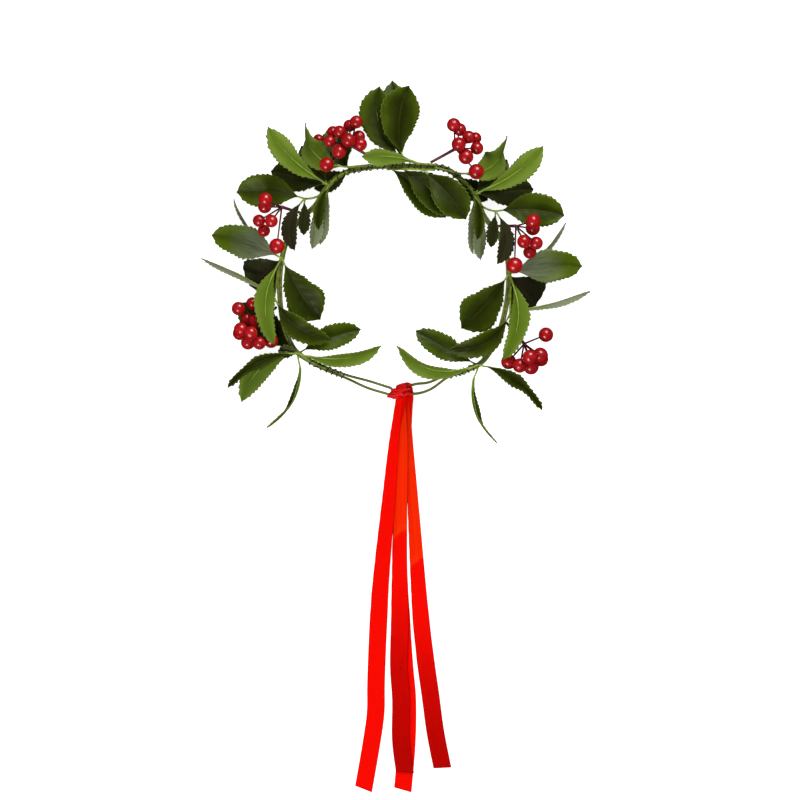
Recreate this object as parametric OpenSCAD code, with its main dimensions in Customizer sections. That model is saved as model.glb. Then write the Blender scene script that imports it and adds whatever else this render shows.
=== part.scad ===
// Laurel wreath crown: a wire ring with bound sprigs of leaves, berries and ribbon tails.
// It lies flat. The origin is the middle of the head opening, on the surface it lies on.

/* [Ring] */
// Mean radius of the wire ring
ring_r = 100; // [90:1:112]
// Height of the ring's wires above the surface
ring_h = 26; // [24:1:30]
// Thickness of the covered frame wire
wire_d = 2.4; // [1.8:0.1:3]
// Thickness of the thin binding wire
binding_d = 0.9; // [0.6:0.1:1.2]

/* [Leaves] */
// Length of a full-sized leaf with its stalk
leaf_l = 62; // [54:1:68]
// Width of a full-sized leaf
leaf_w = 30; // [24:1:34]
// Thickness of a leaf
leaf_t = 0.8; // [0.5:0.1:1.2]
// Thickness of a sprig's stem
stem_d = 2; // [1.4:0.1:2.6]

/* [Berries] */
// Diameter of a full-sized berry
berry_d = 12.5; // [10:0.5:13]
// Thickness of a berry's stalk
stalk_d = 1.7; // [1:0.1:2]
// Thickness of the stalk that carries a cluster
root_d = 2.8; // [1.6:0.1:3.2]

/* [Ribbon] */
// Width of the ribbon
ribbon_w = 16; // [10:1:20]
// Thickness of the ribbon
ribbon_t = 1; // [0.6:0.1:1.4]
// Length of the longest ribbon tail
tail_l = 354; // [250:1:420]
// Length of the knot along the wires
knot_l = 23; // [18:1:30]

/* [Hidden] */
// Space left between neighbouring pieces
gap = 0.3;
// The right garland is the left one mirrored, turned and moved by this much of the ring's radius
right_turn = 9;
right_shift = [0.054, 0.018];

leaf_green = "#3f6212";
leaf_pale = "#8aa65a";
stem_green = "#9fbf3a";
wire_green = "#66733a";
binding_dark = "#222a12";
berry_red = "#c8102e";
stalk_red = "#6b1530";
ribbon_red = "#e00000";

// Ring rows from the left eye up to the top: angle, radius over ring_r, half the space between
// the two strands over wire_d, height over ring_h
LEFT_RING = [
    [268.5, 1.07, 1.25, 0.62],
    [258, 1.034, 1.3, 0.66],
    [247, 1.026, 0.66, 0.85],
    [236, 1.053, 0.62, 1],
    [227, 1.09, 0.62, 1],
    [218, 1.12, 0.62, 1],
    [206, 1.083, 0.62, 1],
    [193, 1.035, 0.62, 1],
    [179, 1.005, 0.62, 1],
    [165, 0.99, 0.62, 1],
    [154, 0.965, 0.62, 1],
    [146, 0.93, 0.62, 1],
    [138, 0.915, 0.62, 1],
    [128, 0.96, 0.62, 1],
    [117, 0.99, 0.62, 1]
];
TOP_RING = [
    [104, 0.967, 0.62, 1],
    [90, 0.954, 0.62, 1],
    [76, 0.98, 0.62, 1],
    [63, 1.045, 0.62, 1]
];
// Last rows before the right eye
RIGHT_EYE = [
    [-71.4, 1.078, 1.3, 0.75],
    [-78, 1.074, 1.8, 0.62],
    [-84, 1.07, 1.15, 0.62]
];
// The first rows of LEFT_RING belong to the left eye alone
eye_rows = 3;

// Sprigs of one side: name, angle and outward offset over ring_r of the bound end, then of the
// free end where the leaves part, 1 where the stem lies on the binding wire
SIDE_SPRIGS = [
    ["low", 236, 0, 221, 0, 1],
    ["mid_low", 179, 0.02, 192, 0.05, 0],
    ["mid", 160, 0, 173, 0, 0],
    ["high", 129, 0, 140, 0.11, 0],
    ["upper", 114, 0, 126, 0, 1],
    ["crest", 101, 0.02, 112, 0.035, 1]
];
TOP_SPRIGS = [
    ["top", 68, 0.02, 84, 0.05, 1],
    ["inner", 67, -0.03, 93, -0.03, 1]
];

// Leaf rows: sprig, place on the stem from its free end (0) to its bound end (1), heading,
// reach over leaf_l, sideways bow over reach, width over leaf_w, layer of its foot (0 beside the stem,
// 1 and up over it, -1 and down under the wires), tip height over ring_h,
// arch over reach, roll, twist, fold, face shown (1 upper, -1 under), sides (0 both, -1 left, 1 right)
SIDE_LEAVES = [
    ["low", 0, 5, 1.21, -0.12, 0.8, 3.2, 1.4, -0.05, -58, 0, 12, -1, -1],
    ["low", 0, 4, 1.21, -0.19, 0.8, 3.4, 1.4, -0.05, -58, 0, 12, -1, 1],
    ["low", 0, 247, 1.14, 0.17, 0.66, 0, 0.9, 0.02, 78, -20, 14, 1, 0],
    ["low", 0, 206, 1.15, -0.12, 0.54, 2, 0.5, 0.12, -20, 30, 24, 1, 0],
    ["low", 0, 220.5, 1.09, -0.17, 0.68, -3, 0.03, 0, 10, 0, 10, -1, -1],
    ["low", 0, 172, 0.3, 0, 0.4, 1, 1.15, 0, 0, 0, 14, 1, -1],
    ["low", 0, 141, 1.15, 0, 0.95, -2, 0.03, 0, 0, 0, 10, 1, -1],
    ["low", 0, 21, 0.97, 0.05, 0.8, -1, 0.6, 0.03, 0, 0, 14, 1, -1],
    ["low", 0, 20, 1.03, -0.01, 0.8, -1.4, 0.6, 0.03, 0, 0, 14, 1, 1],
    ["mid_low", 0, 323, 1.02, -0.15, 0.74, 1, 1.1, 0.06, 10, 25, 16, 1, -1],
    ["mid_low", 0, 320, 1.02, -0.18, 0.74, 1, 1.1, 0.06, 10, 25, 16, 1, 1],
    ["mid_low", 0, 152.5, 1.18, -0.03, 0.45, 0, 0.06, 0.02, 68, 0, 14, -1, -1],
    ["mid_low", 0, 156, 1.18, 0.03, 0.45, 0, 0.06, 0.02, 68, 0, 14, -1, 1],
    ["mid", 0, 265, 1.25, -0.15, 0.74, 3, 1.7, 0.08, -20, 30, 18, -1, 0],
    ["mid", 0, 302, 1.05, -0.04, 0.97, 1, 0.85, 0, 0, 0, 12, 1, 0],
    ["mid", 0, 220, 0.61, 0, 1.15, -1, 0.02, 0, 0, 0, 10, 1, 0],
    ["mid", 0, 161.5, 1.08, -0.05, 1.08, 2, 0.6, 0.02, 0, 0, 12, 1, -1],
    ["mid", 0, 165, 1.08, -0.05, 1.08, 2, 0.6, 0.02, 0, 0, 12, 1, 1],
    ["mid", 0, 129, 1.12, 0.1, 0.4, -2, 0.1, 0, 75, 0, 12, -1, 0],
    ["high", 0, 174.5, 1, -0.06, 1.06, 1, 1, 0.03, 0, 0, 12, 1, 0],
    ["high", 0, 259, 0.77, -0.18, 0.5, 3, 1.35, 0, 15, 0, 14, 1, 0],
    ["high", 0, 268, 0.53, 0, 0.4, 2, 1.1, 0, -20, 0, 14, 1, 0],
    ["high", 0.7, 260, 0.8, 0, 0.45, -1, 0.4, 0, 30, 0, 14, -1, 0],
    ["upper", 0, 136.5, 1.22, 0.08, 0.66, 2, 2, 0.06, 20, -35, 18, -1, 0],
    ["upper", 0, 166, 0.87, 0, 0.9, -2.2, 0.02, 0, 0, 0, 12, 1, 0],
    ["upper", 0, 125, 0.7, 0, 0.8, -1, 0.6, 0, 0, 0, 12, 1, 0],
    ["upper", 0, 257, 0.67, -0.08, 0.37, 1, 1.15, 0, -20, 0, 14, 1, 0],
    ["upper", 0, 262, 0.87, 0, 0.55, -3, 0.5, 0, 65, 0, 14, -1, 0],
    ["crest", 0, 134.5, 0.9, 0.25, 0.84, 1, 1.35, -0.05, 0, -45, 16, -1, 0],
    ["crest", 0, 104, 0.68, 0.15, 1, -2.5, 0.02, 0, 0, 0, 12, 1, -1],
    ["crest", 0, 206, 0.6, 0, 0.62, -4.1, 0.5, 0, 0, 0, 12, 1, -1],
    ["crest", 0, 206, 0.6, 0, 0.62, -2.5, 0.5, 0, 0, 0, 12, 1, 1]
];
TOP_LEAVES = [
    ["top", 0, 108, 1.13, 0.16, 1.02, 1, 0.9, 0.03, 0, 0, 12, 1, 0],
    ["top", 0, 97, 1.26, 0.02, 0.9, -2.4, 0.02, 0, 0, 0, 12, 1, 0],
    ["top", 0, 86, 1.08, 0.1, 1.1, 2, 1.3, 0.05, 0, 0, 12, 1, 0],
    ["top", 0.5, 174, 0.84, -0.05, 0.46, 3, 1.7, 0.04, 25, 0, 14, -1, 0],
    ["inner", 0.75, 311, 0.96, 0.05, 1, 1, 1.4, 0.05, 0, 0, 12, 1, 0],
    ["inner", 0.24, 321, 1.13, 0.03, 1, -2.3, 0.8, 0.03, 0, 0, 12, 1, 0],
    ["inner", 0, 319, 1.14, 0.05, 0.9, -2.8, 0.3, 0, 0, 0, 12, 1, 0]
];

// Berry clusters of one side: name, angle where the stalk leaves the ring, 1 where it leaves
// from the binding wire, then angle, radius over ring_r and height over ring_h of its fork. The last
// three are for the right side's cluster: how far it is moved before it is mirrored, over ring_r, and
// the size of its berries over the left side's
CLUSTERS = [
    ["upper", 98, 1, 108, 1.2, 0.85, 0.03, 0.018, 1.05],
    ["mid", 147, 0, 149.5, 1.15, 1.4, 0.006, -0.028, 1.06],
    ["low", 197, 0, 200, 1.28, 0.5, -0.024, -0.039, 1.08]
];
// Berry rows: cluster, angle and radius over ring_r, height over ring_h, size over berry_d, sides
BERRIES = [
    ["upper", 103.4, 1.384, 1.77, 0.95, 0],
    ["upper", 106.2, 1.37, 1.2, 0.9, 0],
    ["upper", 110.5, 1.345, 1.63, 0.9, 0],
    ["upper", 112.9, 1.37, 1.24, 0.83, 0],
    ["upper", 119, 1.365, 0.95, 0.78, -1],
    ["upper", 115.5, 1.3, 1.55, 0.9, 0],
    ["upper", 108.4, 1.243, 2.07, 1, 0],
    ["upper", 103.7, 1.253, 1.42, 0.9, -1],
    ["upper", 103.9, 1.18, 1.79, 0.96, -1],
    ["upper", 113.7, 1.18, 1.88, 1.04, 0],
    ["upper", 121.4, 1.128, 1.85, 1.08, 0],
    ["mid", 150.3, 1.31, 2.05, 1, 0],
    ["mid", 152.9, 1.285, 1.6, 0.96, 0],
    ["mid", 159, 1.28, 1.75, 0.9, 0],
    ["mid", 157.2, 1.175, 1.97, 0.93, 0],
    ["mid", 162.2, 1.21, 1.46, 0.9, 0],
    ["mid", 167.4, 1.06, 1.78, 1.12, 0],
    ["low", 193.4, 1.42, 1.3, 0.98, 0],
    ["low", 192.7, 1.288, 1.04, 0.9, -1],
    ["low", 197.9, 1.375, 1.05, 0.83, -1],
    ["low", 199.9, 1.305, 1.4, 0.98, -1],
    ["low", 200.9, 1.455, 1.48, 1.04, 0],
    ["low", 201.9, 1.48, 0.87, 0.98, 0],
    ["low", 203.5, 1.385, 1.88, 1.02, 0],
    ["low", 206.1, 1.442, 1.18, 1.02, 0],
    ["low", 208.2, 1.353, 1.53, 0.97, 0],
    ["low", 209.7, 1.253, 1.17, 1.02, 0]
];

// Tail rows: distance down and to the right over tail_l, width over ribbon_w, height over ring_h,
// layer in the stack of tails
TAILS = [
    ["left", [
        [0.022, 0.001, 0.42, 0.5, 3],
        [0.07, -0.005, 0.47, 0.2, 3],
        [0.15, -0.0145, 0.6, 0, 3],
        [0.29, -0.027, 0.78, 0, 3],
        [0.43, -0.041, 0.89, 0, 2],
        [0.57, -0.052, 1, 0, 0],
        [0.74, -0.059, 1, 0, 0],
        [0.82, -0.06, 1, 0, 0],
        [0.9, -0.071, 1, 0, 0],
        [1.016, -0.091, 1, 0, 0]]],
    ["mid_front", [
        [0.022, 0.006, 0.42, 0.5, 2],
        [0.07, 0.008, 0.52, 0.2, 2],
        [0.15, 0.0086, 0.64, 0, 2],
        [0.29, 0.0045, 0.75, 0, 2],
        [0.43, 0.002, 0.85, 0, 1],
        [0.58, 0.0015, 1, 0, 1],
        [0.7, -0.001, 1, 0, 1],
        [0.79, 0.0045, 1, 0, 1],
        [0.89, 0.004, 1, 0, 1],
        [0.973, 0.0145, 1, 0, 1]]],
    ["mid_back", [
        [0.022, 0.006, 0.42, 0.5, 1],
        [0.07, 0.008, 0.52, 0.2, 1],
        [0.15, 0.0086, 0.64, 0, 1],
        [0.29, 0.0045, 0.75, 0, 1],
        [0.43, 0.0015, 0.85, 0, 0],
        [0.58, 0.0055, 1, 0, 0],
        [0.7, 0.013, 1, 0, 0],
        [0.79, 0.0206, 1, 0, 0],
        [0.9, 0.019, 1, 0, 0],
        [1.018, 0.009, 1, 0, 0]]],
    ["right", [
        [0.022, 0.018, 0.38, 0.5, 0],
        [0.07, 0.0205, 0.47, 0.2, 0],
        [0.15, 0.025, 0.56, 0, 0],
        [0.29, 0.036, 0.64, 0, 0],
        [0.43, 0.045, 0.8, 0, 0],
        [0.57, 0.055, 0.95, 0, 0],
        [0.68, 0.066, 1, 0, 0],
        [0.78, 0.08, 1, 0, 0],
        [0.87, 0.092, 1, 0, 0],
        [0.962, 0.11, 1, 0, 0]]]
];
// Middle of the knot: angle, radius over ring_r and height over ring_h
KNOT = [273.5, 1.067, 0.62];

SIDES = ["left", "right"];

// Vectors and curves
function unit(v) = v / norm(v);
function polar(angle, radius, z = 0) = [radius * cos(angle), radius * sin(angle), z];
function mix(a, b, t) = a + (b - a) * t;
function spline(a, b, c, d, t) =
    0.5 * (2 * b + (c - a) * t + (2 * a - 5 * b + 4 * c - d) * t * t + (3 * b - a - 3 * c + d) * t * t * t);
// A smooth line through points, with steps pieces between neighbours
function smooth(p, steps) = [
    for (i = [0 : len(p) - 2], k = [0 : steps - 1])
        spline(p[max(i - 1, 0)], p[i], p[i + 1], p[min(i + 2, len(p) - 1)], k / steps),
    p[len(p) - 1]
];
function heading_at(p, i) = unit(p[min(i + 1, len(p) - 1)] - p[max(i - 1, 0)]);
function left_of(v) = unit(cross([0, 0, 1], v));

// The right garland's place for a point of the left one
function to_right(p) =
    let (x = -p[0], y = p[1])
    [x * cos(right_turn) + y * sin(right_turn) + right_shift[0] * ring_r,
     y * cos(right_turn) - x * sin(right_turn) + right_shift[1] * ring_r,
     p[2]];

module on_side(side) {
    if (side == "right")
        translate([right_shift[0] * ring_r, right_shift[1] * ring_r, 0])
            rotate([0, 0, -right_turn])
                mirror([1, 0, 0]) children();
    else
        children();
}

// Joins rings of points, one after another, into a closed solid
module skin(rings, caps, closed = false) {
    n = len(rings[0]);
    m = len(rings);
    points = [for (r = rings, p = r) p];
    sides = [
        for (i = [0 : closed ? m - 1 : m - 2], k = [0 : n - 1])
            let (a = i * n, b = ((i + 1) % m) * n, j = (k + 1) % n)
            each [[a + k, b + k, b + j], [a + k, b + j, a + j]]
    ];
    ends = closed ? [] : concat(
        [for (c = caps) [c[0], c[1], c[2]]],
        [for (c = caps) [(m - 1) * n + c[2], (m - 1) * n + c[1], (m - 1) * n + c[0]]]
    );
    polyhedron(points, concat(sides, ends));
}
function fan(n) = [for (k = [1 : n - 2]) [0, k, k + 1]];

// A round ring of n points about c, across the direction d; up is any vector that isn't along d
function round_ring(c, d, r, n, up) =
    let (s = unit(cross(up, d)), u = cross(d, s))
    [for (k = [0 : n - 1]) c + r * (cos(360 * k / n) * s + sin(360 * k / n) * u)];

// A tube of diameter d along the points p; ups is one such vector, or one for each point
module tube(p, d, sides, closed = false, ups = [0, 0, 1]) {
    m = len(p);
    rings = [
        for (i = [0 : m - 1])
            let (t = closed ? unit(p[(i + 1) % m] - p[(i + m - 1) % m]) : heading_at(p, i))
            round_ring(p[i], t, d / 2, sides, is_list(ups[0]) ? ups[i] : ups)
    ];
    skin(rings, fan(sides), closed);
}

// The ring's centreline with half its strand space: left rows, top rows, mirrored rows, right eye
function ring_row(r) = concat(polar(r[0], r[1] * ring_r, r[3] * ring_h), [r[2] * wire_d]);
side_rows = [for (i = [eye_rows : len(LEFT_RING) - 1]) ring_row(LEFT_RING[i])];
ring_rows = concat(
    [for (r = LEFT_RING) ring_row(r)],
    [for (r = TOP_RING) ring_row(r)],
    [for (i = [len(side_rows) - 1 : -1 : 0])
        let (q = side_rows[i]) concat(to_right([q[0], q[1], q[2]]), [q[3]])],
    [for (r = RIGHT_EYE) ring_row(r)]
);
ring_steps = 2;
ring_line = smooth(ring_rows, ring_steps);
ring_mid = [for (p = ring_line) [p[0], p[1], p[2]]];
last = len(ring_mid) - 1;
ring_heading = [for (i = [0 : last]) heading_at(ring_mid, i)];
ring_out = [for (d = ring_heading) -left_of(d)];

// The closed route of the wire: out along the outer strand, round the right eye and back
function eye_turn(i, sign) =
    [for (a = [-45, 0, 45])
        ring_mid[i] + ring_line[i][3] * sign * (cos(a) * ring_heading[i] + sin(a) * ring_out[i])];
wire_route = concat(
    [for (i = [0 : last]) ring_mid[i] - ring_out[i] * ring_line[i][3]],
    eye_turn(last, 1),
    [for (i = [last : -1 : 0]) ring_mid[i] + ring_out[i] * ring_line[i][3]],
    eye_turn(0, -1)
);

module frame_wire() {
    color(wire_green) tube(wire_route, wire_d, 6, true);
}

// What the doubled wire has at an angle, from -84 at the right eye over 0 and 180 to 268.5 at the left eye
function turn_of(p) = atan2(p[1], p[0]) + (p[0] < 0 && p[1] < 0 ? 360 : 0);
RING_PLACES = [for (i = [0 : last]) [turn_of(ring_mid[i]), i]];
function along_ring(list, angle) =
    let (i = lookup(angle, RING_PLACES))
    mix(list[floor(i)], list[ceil(i)], i - floor(i));
function bundle_r(angle) = let (p = along_ring(ring_mid, angle)) norm([p[0], p[1]]);
function bundle_z(angle) = along_ring(ring_mid, angle)[2];
function bundle_half(angle) = along_ring(ring_line, angle)[3] + wire_d / 2;
// How far the binding wire reaches over the strands that it is wound round
binding_over = gap + binding_d;

// Thin wire wound round the two strands: half a turn round the outer one, half round the inner one
turn_points = 8;
module binding(from, to, turns) {
    around = (wire_d / 2 + gap + binding_d / 2) / cos(30);
    steps = turns * turn_points;
    places = [
        for (k = [0 : steps])
            let (j = k % turn_points, outer = j < turn_points / 2)
            [mix(from, to, k / steps), outer ? 1 : -1, outer ? 90 - 60 * j : 150 - 60 * j]
    ];
    route = [
        for (q = places)
            along_ring(ring_mid, q[0]) + [0, 0, around * sin(q[2])]
            + along_ring(ring_out, q[0]) * (q[1] * along_ring(ring_line, q[0])[3] + around * cos(q[2]))
    ];
    color(binding_dark) tube(route, binding_d, 4, ups = [for (q = places) along_ring(ring_heading, q[0])]);
}
// Where each binding starts and ends on the ring, and its turns
BINDING_LEFT = [226, 245, 6];
BINDING_RIGHT = [222, 235, 5];
BINDING_TOP = [43, 126, 9];
module binding_left() {
    binding(BINDING_LEFT[0], BINDING_LEFT[1], BINDING_LEFT[2]);
}
module binding_right() {
    on_side("right") binding(BINDING_RIGHT[0], BINDING_RIGHT[1], BINDING_RIGHT[2]);
}
module binding_top() {
    binding(BINDING_TOP[0], BINDING_TOP[1], BINDING_TOP[2]);
}

// Sprig stems
function stem_route(s) = [
    for (k = [0 : 4])
        let (t = k / 4, a = mix(s[1], s[3], t), o = mix(s[2], s[4], t * t) * ring_r)
        polar(a, bundle_r(a) + o,
              bundle_z(a) + wire_d / 2 + s[5] * (binding_over + gap) + gap + stem_d / 2)
];
module sprig_stem(s) {
    color(stem_green) tube(stem_route(s), stem_d, 5);
}
function sprig_named(list, name) = [for (s = list) if (s[0] == name) s][0];

// Leaves
// Stations of a leaf from its foot to its tip: place over its reach, width over its own width
LEAF_STATIONS = [
    [0, 0.06], [0.12, 0.08], [0.23, 0.38], [0.36, 0.75], [0.52, 0.98],
    [0.68, 1], [0.81, 0.84], [0.92, 0.5], [1, 0.04]
];
LEAF_CAPS = [[0, 1, 5], [1, 4, 5], [1, 2, 4], [2, 3, 4]];
// The foot lies beside the stem's end, over it, or under the wires below it, where an upright blade
// needs more room
function leaf_base(row, s) =
    let (p = stem_route(s), place = (1 - row[1]) * (len(p) - 1), i = min(floor(place), len(p) - 2),
         on_stem = mix(p[i], p[i + 1], place - i), angle = turn_of(on_stem),
         room = LEAF_STATIONS[1][1] * row[5] * leaf_w / 2 * abs(sin(row[9])) + leaf_t / 2,
         over = stem_d / 2 + gap + room + (row[6] - 1) * (leaf_t + gap),
         under = wire_d / 2 + gap + room - (row[6] + 1) * (leaf_t + gap))
    row[6] == 0 ? on_stem + polar(row[2], (stem_d + leaf_t) / 2 + gap)
    : row[6] > 0 ? on_stem + [0, 0, over]
    : polar(angle, bundle_r(angle), bundle_z(angle) - under);
function leaf_ring(row, base, u, half) =
    let (reach = row[3] * leaf_l,
         ahead = polar(row[2], 1), aside = polar(row[2] + 90, 1),
         rise = row[7] * ring_h - base[2],
         hump = 4 * u * (1 - u), slope = 4 * (1 - 2 * u),
         mid = base + ahead * reach * u + aside * row[4] * reach * hump
               + [0, 0, rise * u + row[8] * reach * hump],
         t = unit(ahead * reach + aside * row[4] * reach * slope + [0, 0, rise + row[8] * reach * slope]),
         s0 = left_of(t), n0 = cross(t, s0),
         roll = row[9] + row[10] * (u - 0.5) + (row[12] < 0 ? 180 : 0),
         s = s0 * cos(roll) + n0 * sin(roll), n = n0 * cos(roll) - s0 * sin(roll),
         w = half * row[5] * leaf_w / 2,
         left = mid + w * (s * cos(row[11]) + n * sin(row[11])),
         right = mid + w * (n * sin(row[11]) - s * cos(row[11])),
         h = n * leaf_t / 2)
    [left + h, mid + h, right + h, right - h, mid - h, left - h];
module leaf(row, s) {
    base = leaf_base(row, s);
    color(row[12] > 0 ? leaf_green : leaf_pale)
        skin([for (q = LEAF_STATIONS) leaf_ring(row, base, q[0], q[1])], LEAF_CAPS);
}
function shown_on(side, flag) = flag == 0 || (flag < 0 && side == "left") || (flag > 0 && side == "right");
module sprig_leaves(leaves, s, side) {
    for (row = leaves)
        if (row[0] == s[0] && shown_on(side, row[13])) leaf(row, s);
}

// Berries and their forked stalks
function moved(c, side) = side == "right" ? [c[6] * ring_r, c[7] * ring_r, 0] : [0, 0, 0];
function berry_at(b, c, side) = polar(b[1], b[2] * ring_r, b[3] * ring_h) + moved(c, side);
function berry_size(b, c, side) = b[4] * berry_d * (side == "right" ? c[8] : 1);
module berries(c, side) {
    color(berry_red)
        for (b = BERRIES)
            if (b[0] == c[0] && shown_on(side, b[5]))
                translate(berry_at(b, c, side)) sphere(d = berry_size(b, c, side), $fn = 32);
}
// The stalk leaves from beside the wires and forks under its berries
module berry_stem(c, side) {
    beside = bundle_half(c[1]) + c[2] * (binding_over + gap) + gap + root_d / 2;
    foot = polar(c[1], bundle_r(c[1]) + beside, bundle_z(c[1]));
    fork = polar(c[3], c[4] * ring_r, c[5] * ring_h) + moved(c, side);
    color(stalk_red) {
        tube(smooth([foot, mix(foot, fork, 0.5) - [0, 0, root_d], fork], 2), root_d, 5);
        for (b = BERRIES)
            if (b[0] == c[0] && shown_on(side, b[5]))
                let (p = berry_at(b, c, side), sag = berry_d / 4, under = mix(fork, p, 0.5) - [0, 0, sag],
                     away = unit(p - under), end = p - away * (berry_size(b, c, side) / 2 + gap),
                     side_on = left_of([p[0] - fork[0], p[1] - fork[1], 0]))
                tube([fork, mix(fork, under, 0.5) - [0, 0, sag / 3], under, end], stalk_d, 5, ups = side_on);
    }
}

// Ribbon
knot_at = polar(KNOT[0], KNOT[1] * ring_r, KNOT[2] * ring_h);
function tail_ring(q, d) =
    let (c = knot_at + [q[1] * tail_l, -q[0] * tail_l, 0],
         z = q[3] * ring_h + ribbon_t / 2 + q[4] * (ribbon_t + gap),
         p = [c[0], c[1], z],
         s = unit([d[1], -d[0], 0]) * q[2] * ribbon_w / 2, h = [0, 0, ribbon_t / 2])
    [p - s + h, p + s + h, p + s - h, p - s - h];
module ribbon_tail(rows) {
    line = [for (q = rows) [q[1], -q[0], 0]];
    color(ribbon_red)
        skin([for (i = [0 : len(rows) - 1]) tail_ring(rows[i], heading_at(line, i))], [[0, 1, 2], [0, 2, 3]]);
}
// The knot is a gathered sleeve round the two wire eyes. Its rows hold the place along it and
// its size over what clears the eyes
KNOT_ROWS = [[0, 1.18], [0.16, 1.16], [0.34, 1.04], [0.5, 0.94], [0.66, 1.08], [0.84, 1.18], [1, 1.12]];
knot_tilt = 4;
knot_points = 14;
// Half the width of the eyes in the knot over wire_d, the wire's own thickness counted
eye_half = 2.12;
module ribbon_knot() {
    clear_y = eye_half * wire_d + gap;
    clear_z = wire_d / 2 + 2 * gap;
    outer = [for (q = KNOT_ROWS) [q[0], q[1] * clear_y + ribbon_t, q[1] * clear_z + 2 * ribbon_t]];
    inner = [for (i = [len(KNOT_ROWS) - 1 : -1 : 0])
        let (q = KNOT_ROWS[i]) [q[0], q[1] * clear_y, q[1] * clear_z]];
    rings = [
        for (q = concat(outer, inner))
            [for (k = [0 : knot_points - 1])
                let (a = 360 * k / knot_points)
                [(q[0] - 0.5) * knot_l, q[1] * cos(a), q[2] * sin(a)]]
    ];
    color(ribbon_red) translate(knot_at) rotate([0, 0, knot_tilt]) skin(rings, [], true);
}

frame_wire();
binding_left();
binding_right();
binding_top();
for (side = SIDES, s = SIDE_SPRIGS) {
    on_side(side) sprig_stem(s);
    on_side(side) sprig_leaves(SIDE_LEAVES, s, side);
}
for (s = TOP_SPRIGS) {
    sprig_stem(s);
    sprig_leaves(TOP_LEAVES, s, "left");
}
for (side = SIDES, c = CLUSTERS) {
    on_side(side) berry_stem(c, side);
    on_side(side) berries(c, side);
}
ribbon_knot();
for (t = TAILS)
    ribbon_tail(t[1]);
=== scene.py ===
"""The looks of a laurel wreath crown: toothed leaves, glossy berries, covered wire and satin ribbon tails."""

from math import atan2, cos, exp, floor, pi, radians, sin, sqrt

import bmesh
import bpy
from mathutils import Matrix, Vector, noise


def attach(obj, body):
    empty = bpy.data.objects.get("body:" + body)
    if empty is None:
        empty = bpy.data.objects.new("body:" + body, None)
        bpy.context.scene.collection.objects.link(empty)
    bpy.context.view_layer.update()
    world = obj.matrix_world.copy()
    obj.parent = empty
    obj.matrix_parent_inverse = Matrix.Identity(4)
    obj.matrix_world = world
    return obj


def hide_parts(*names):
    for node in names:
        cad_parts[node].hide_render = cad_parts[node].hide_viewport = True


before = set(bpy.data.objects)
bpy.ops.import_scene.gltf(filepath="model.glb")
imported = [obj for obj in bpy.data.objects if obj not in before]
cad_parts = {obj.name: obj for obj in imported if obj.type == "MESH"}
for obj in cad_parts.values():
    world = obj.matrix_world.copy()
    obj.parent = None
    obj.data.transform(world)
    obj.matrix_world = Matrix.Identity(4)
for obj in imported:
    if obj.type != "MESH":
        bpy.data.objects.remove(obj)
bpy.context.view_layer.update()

# Driving sizes in metres
MM = 0.001
ring_r = 100 * MM
ring_h = 26 * MM
wire_d = 2.4 * MM
binding_d = 0.9 * MM
leaf_l = 62 * MM
leaf_w = 30 * MM
leaf_t = 0.8 * MM
stem_d = 2 * MM
berry_d = 12.5 * MM
stalk_d = 1.7 * MM
root_d = 2.8 * MM
ribbon_w = 16 * MM
ribbon_t = 1 * MM
tail_l = 354 * MM
knot_l = 23 * MM
gap = 0.3 * MM
right_turn = radians(9)
right_shift = (0.054, 0.018)

# Ring rows: angle, radius over ring_r, half the distance between the strands over wire_d, height over
# ring_h. At a half of 0.5 the strands touch
LEFT_RING = [
    (268.5, 1.07, 1.25, 0.62),
    (258, 1.034, 1.3, 0.66),
    (247, 1.026, 0.6, 0.85),
    (236, 1.053, 0.5, 1),
    (227, 1.09, 0.5, 1),
    (218, 1.12, 0.5, 1),
    (206, 1.083, 0.5, 1),
    (193, 1.035, 0.5, 1),
    (179, 1.005, 0.5, 1),
    (165, 0.99, 0.5, 1),
    (154, 0.965, 0.5, 1),
    (146, 0.93, 0.5, 1),
    (138, 0.915, 0.5, 1),
    (128, 0.96, 0.5, 1),
    (117, 0.99, 0.5, 1),
]
TOP_RING = [(104, 0.967, 0.5, 1), (90, 0.954, 0.5, 1), (76, 0.98, 0.5, 1), (63, 1.045, 0.5, 1)]
RIGHT_EYE = [(-71.4, 1.078, 1.3, 0.75), (-78, 1.074, 1.8, 0.62), (-84, 1.07, 1.15, 0.62)]
eye_rows = 3

# Sprigs: name, angle and outward offset over ring_r of the bound end, then of the free end,
# 1 where the stem lies on the binding wire
SIDE_SPRIGS = [
    ("low", 236, 0, 221, 0, 1),
    ("mid_low", 179, 0.02, 192, 0.05, 0),
    ("mid", 160, 0, 173, 0, 0),
    ("high", 129, 0, 140, 0.11, 0),
    ("upper", 114, 0, 126, 0, 1),
    ("crest", 101, 0.02, 112, 0.035, 1),
]
TOP_SPRIGS = [("top", 68, 0.02, 84, 0.05, 1), ("inner", 67, -0.03, 93, -0.03, 1)]

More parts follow.
